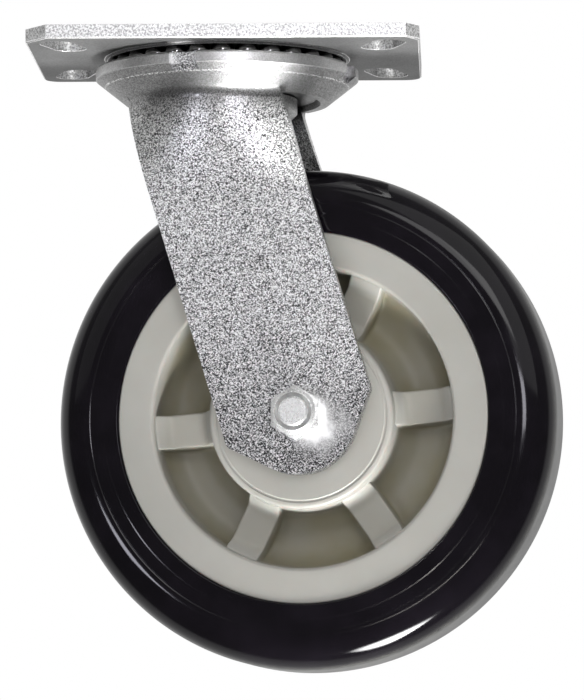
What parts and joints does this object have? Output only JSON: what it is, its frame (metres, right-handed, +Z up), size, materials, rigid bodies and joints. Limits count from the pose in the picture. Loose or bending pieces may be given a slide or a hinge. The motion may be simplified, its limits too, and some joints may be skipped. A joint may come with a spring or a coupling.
{
  "type": "swivel gate wheel",
  "caption": "Swivel plate caster: a slotted plate over a ball race, a leaning two-leg fork, and a spoked plastic wheel with a thick round-shouldered tread.",
  "frame": {"origin": "centre of the plate's upper mounting face, on the swivel axis", "axes": "+Z up out of the mounting face along the swivel axis, +X towards the trail side, so the wheel's axle lies near Y"},
  "size_m": [0.2164, 0.1142, 0.2572],
  "materials": {
    "plate_steel": "bright zinc plate over pressed steel",
    "fork_steel": "bright zinc plate with a fine pebbled grain",
    "pin_steel": "zinc plate",
    "cup_steel": "zinc plate, greased",
    "ball_steel": "polished hardened steel, greased",
    "bolt_steel": "bright zinc plate",
    "bearing_steel": "ground steel",
    "shield_steel": "pressed, satin",
    "insert_plastic": "nylon",
    "cage_plastic": "moulded nylon",
    "core_plastic": "off-white moulded, satin",
    "tread": "black polyurethane, glossy"
  },
  "bodies": {
    "plate": {"top_plate": "plate_steel", "kingpin": "pin_steel", "kingpin_washer": "pin_steel", "kingpin_nut": "pin_steel", "lower_race_cup": "cup_steel"},
    "upper_balls": {"upper_race_balls": "ball_steel"},
    "lower_balls": {"lower_race_balls": "ball_steel"},
    "fork": {"fork": "fork_steel", "axle_bolt": "bolt_steel", "axle_nut": "bolt_steel", "axle_nut_insert": "insert_plastic", "axle_sleeve": "bolt_steel", "axle_end_washers": "bolt_steel", "bearing_inner_rings": "bearing_steel", "bearing_spacer": "bearing_steel"},
    "bearing_balls": {"bearing_balls": "ball_steel", "bearing_cages": "cage_plastic"},
    "wheel": {"wheel_core": "core_plastic", "tyre": "tread", "bearing_outer_rings": "bearing_steel", "bearing_shields": "shield_steel"}
  },
  "joints": [
    {"name": "fork_swivel", "type": "hinge", "parent": "plate", "child": "fork", "pos_m": [0, 0, 0], "axis": [0, 0, 1], "continuous": true},
    {"name": "upper_balls_roll", "type": "hinge", "parent": "plate", "child": "upper_balls", "pos_m": [0, 0, -0.0086], "axis": [0, 0, 1], "continuous": true},
    {"name": "lower_balls_roll", "type": "hinge", "parent": "plate", "child": "lower_balls", "pos_m": [0, 0, -0.0245], "axis": [0, 0, 1], "continuous": true},
    {"name": "wheel_spin", "type": "hinge", "parent": "fork", "child": "wheel", "pos_m": [0.03474, -0.00427, -0.1556], "axis": [0.1219, 0.9925, 0], "continuous": true},
    {"name": "bearing_balls_roll", "type": "hinge", "parent": "fork", "child": "bearing_balls", "pos_m": [0.03474, -0.00427, -0.1556], "axis": [0.1219, 0.9925, 0], "continuous": true}
  ],
  "couplings": [
    {"joint": "upper_balls_roll", "follows": "fork_swivel", "ratio": 0.5},
    {"joint": "lower_balls_roll", "follows": "fork_swivel", "ratio": 0.5},
    {"joint": "bearing_balls_roll", "follows": "wheel_spin", "ratio": 0.61837}
  ]
}
